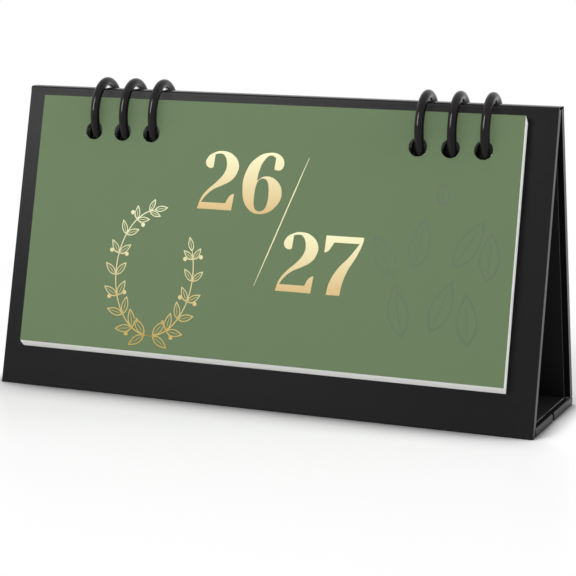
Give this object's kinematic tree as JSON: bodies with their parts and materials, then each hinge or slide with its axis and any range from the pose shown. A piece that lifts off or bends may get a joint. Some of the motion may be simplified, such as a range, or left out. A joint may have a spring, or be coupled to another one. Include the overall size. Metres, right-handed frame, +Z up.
{
  "type": "desk calendar",
  "caption": "Small tent desk calendar: hinged boards covered in black paper that fold flat, with a pad of turning sheets hung over the ridge on wire rings.",
  "frame": {"origin": "middle of the stand's footprint, on the desk", "axes": "+X to the viewer's right along the ridge, -Y towards the viewer, +Z up"},
  "size_m": [0.165, 0.0441, 0.0916],
  "materials": {
    "covering_paper": "fine-grained black covering paper, matt with a slight sheen",
    "grey_board": "pressed grey bookbinding board",
    "lining_paper": "smooth black lining sheet",
    "ring_enamel": "glossy black enamel on bent steel wire",
    "cover_sheet": "sage green printed card with gold print",
    "month_sheet": "white uncoated card"
  },
  "bodies": {
    "front_panel": {"front_board": "grey_board", "front_covering_paper": "covering_paper", "front_lining": "lining_paper", "ridge_hinge_paper": "covering_paper", "cover_sheet_bound_edge": "cover_sheet", "month_sheet_01_bound_edge": "month_sheet", "month_sheet_02_bound_edge": "month_sheet", "month_sheet_03_bound_edge": "month_sheet", "month_sheet_04_bound_edge": "month_sheet", "month_sheet_05_bound_edge": "month_sheet", "month_sheet_06_bound_edge": "month_sheet", "month_sheet_07_bound_edge": "month_sheet", "month_sheet_08_bound_edge": "month_sheet", "month_sheet_09_bound_edge": "month_sheet", "month_sheet_10_bound_edge": "month_sheet", "month_sheet_11_bound_edge": "month_sheet", "month_sheet_12_bound_edge": "month_sheet"},
    "rear_panel": {"rear_board": "grey_board", "rear_covering_paper": "covering_paper", "rear_lining": "lining_paper"},
    "base_front": {"base_front_board": "grey_board", "base_front_covering_paper": "covering_paper", "base_front_lining": "lining_paper"},
    "base_rear": {"base_rear_board": "grey_board", "base_rear_covering_paper": "covering_paper", "base_rear_lining": "lining_paper"},
    "cover_leaf": {"cover_sheet_leaf": "cover_sheet"},
    "month_leaf_01": {"month_sheet_01_leaf": "month_sheet"},
    "month_leaf_02": {"month_sheet_02_leaf": "month_sheet"},
    "month_leaf_03": {"month_sheet_03_leaf": "month_sheet"},
    "month_leaf_04": {"month_sheet_04_leaf": "month_sheet"},
    "month_leaf_05": {"month_sheet_05_leaf": "month_sheet"},
    "month_leaf_06": {"month_sheet_06_leaf": "month_sheet"},
    "month_leaf_07": {"month_sheet_07_leaf": "month_sheet"},
    "month_leaf_08": {"month_sheet_08_leaf": "month_sheet"},
    "month_leaf_09": {"month_sheet_09_leaf": "month_sheet"},
    "month_leaf_10": {"month_sheet_10_leaf": "month_sheet"},
    "month_leaf_11": {"month_sheet_11_leaf": "month_sheet"},
    "month_leaf_12": {"month_sheet_12_leaf": "month_sheet"},
    "ring_1": {"ring_1": "ring_enamel"},
    "ring_2": {"ring_2": "ring_enamel"},
    "ring_3": {"ring_3": "ring_enamel"},
    "ring_4": {"ring_4": "ring_enamel"},
    "ring_5": {"ring_5": "ring_enamel"},
    "ring_6": {"ring_6": "ring_enamel"}
  },
  "joints": [
    {"name": "base_fold", "type": "hinge", "parent": "front_panel", "child": "base_front", "pos_m": [0, -0.022, 0], "axis": [-1, 0, 0], "range_deg": [0, 101]},
    {"name": "crease_fold", "type": "hinge", "parent": "base_front", "child": "base_rear", "pos_m": [0, 0, 0.0026], "axis": [1, 0, 0], "range_deg": [0, 176.4]},
    {"name": "ridge_fold", "type": "hinge", "parent": "front_panel", "child": "rear_panel", "pos_m": [0, 0, 0.08733], "axis": [-1, 0, 0], "range_deg": [0, 24.4]},
    {"name": "cover_turn", "type": "hinge", "parent": "front_panel", "child": "cover_leaf", "pos_m": [0, -0.01065, 0.06969], "axis": [-1, 0, 0], "range_deg": [0, 160]},
    {"name": "month_turn_01", "type": "hinge", "parent": "front_panel", "child": "month_leaf_01", "pos_m": [0, -0.01065, 0.06969], "axis": [-1, 0, 0], "range_deg": [0, 155.2]},
    {"name": "month_turn_02", "type": "hinge", "parent": "front_panel", "child": "month_leaf_02", "pos_m": [0, -0.01065, 0.06969], "axis": [-1, 0, 0], "range_deg": [0, 150.4]},
    {"name": "month_turn_03", "type": "hinge", "parent": "front_panel", "child": "month_leaf_03", "pos_m": [0, -0.01065, 0.06969], "axis": [-1, 0, 0], "range_deg": [0, 145.6]},
    {"name": "month_turn_04", "type": "hinge", "parent": "front_panel", "child": "month_leaf_04", "pos_m": [0, -0.01065, 0.06969], "axis": [-1, 0, 0], "range_deg": [0, 140.8]},
    {"name": "month_turn_05", "type": "hinge", "parent": "front_panel", "child": "month_leaf_05", "pos_m": [0, -0.01065, 0.06969], "axis": [-1, 0, 0], "range_deg": [0, 136]},
    {"name": "month_turn_06", "type": "hinge", "parent": "front_panel", "child": "month_leaf_06", "pos_m": [0, -0.01065, 0.06969], "axis": [-1, 0, 0], "range_deg": [0, 131.2]},
    {"name": "month_turn_07", "type": "hinge", "parent": "front_panel", "child": "month_leaf_07", "pos_m": [0, -0.01065, 0.06969], "axis": [-1, 0, 0], "range_deg": [0, 126.4]},
    {"name": "month_turn_08", "type": "hinge", "parent": "front_panel", "child": "month_leaf_08", "pos_m": [0, -0.01065, 0.06969], "axis": [-1, 0, 0], "range_deg": [0, 121.6]},
    {"name": "month_turn_09", "type": "hinge", "parent": "front_panel", "child": "month_leaf_09", "pos_m": [0, -0.01065, 0.06969], "axis": [-1, 0, 0], "range_deg": [0, 116.8]},
    {"name": "month_turn_10", "type": "hinge", "parent": "front_panel", "child": "month_leaf_10", "pos_m": [0, -0.01065, 0.06969], "axis": [-1, 0, 0], "range_deg": [0, 112]},
    {"name": "month_turn_11", "type": "hinge", "parent": "front_panel", "child": "month_leaf_11", "pos_m": [0, -0.01065, 0.06969], "axis": [-1, 0, 0], "range_deg": [0, 107.2]},
    {"name": "month_turn_12", "type": "hinge", "parent": "front_panel", "child": "month_leaf_12", "pos_m": [0, -0.01065, 0.06969], "axis": [-1, 0, 0], "range_deg": [0, 102.4]},
    {"name": "ring_1_spin", "type": "hinge", "parent": "front_panel", "child": "ring_1", "pos_m": [-0.0578, 0, 0.08059], "axis": [1, 0, 0], "continuous": true},
    {"name": "ring_2_spin", "type": "hinge", "parent": "front_panel", "child": "ring_2", "pos_m": [-0.0483, 0, 0.08059], "axis": [1, 0, 0], "continuous": true},
    {"name": "ring_3_spin", "type": "hinge", "parent": "front_panel", "child": "ring_3", "pos_m": [-0.0388, 0, 0.08059], "axis": [1, 0, 0], "continuous": true},
    {"name": "ring_4_spin", "type": "hinge", "parent": "front_panel", "child": "ring_4", "pos_m": [0.044, 0, 0.08059], "axis": [1, 0, 0], "continuous": true},
    {"name": "ring_5_spin", "type": "hinge", "parent": "front_panel", "child": "ring_5", "pos_m": [0.0535, 0, 0.08059], "axis": [1, 0, 0], "continuous": true},
    {"name": "ring_6_spin", "type": "hinge", "parent": "front_panel", "child": "ring_6", "pos_m": [0.063, 0, 0.08059], "axis": [1, 0, 0], "continuous": true}
  ],
  "couplings": [
    {"joint": "crease_fold", "follows": "base_fold", "ratio": 1.7465},
    {"joint": "ridge_fold", "follows": "base_fold", "ratio": 0.24157},
    {"joint": "month_turn_01", "follows": "cover_turn", "ratio": 0.97},
    {"joint": "month_turn_02", "follows": "cover_turn", "ratio": 0.94},
    {"joint": "month_turn_03", "follows": "cover_turn", "ratio": 0.91},
    {"joint": "month_turn_04", "follows": "cover_turn", "ratio": 0.88},
    {"joint": "month_turn_05", "follows": "cover_turn", "ratio": 0.85},
    {"joint": "month_turn_06", "follows": "cover_turn", "ratio": 0.82},
    {"joint": "month_turn_07", "follows": "cover_turn", "ratio": 0.79},
    {"joint": "month_turn_08", "follows": "cover_turn", "ratio": 0.76},
    {"joint": "month_turn_09", "follows": "cover_turn", "ratio": 0.73},
    {"joint": "month_turn_10", "follows": "cover_turn", "ratio": 0.7},
    {"joint": "month_turn_11", "follows": "cover_turn", "ratio": 0.67},
    {"joint": "month_turn_12", "follows": "cover_turn", "ratio": 0.64}
  ]
}
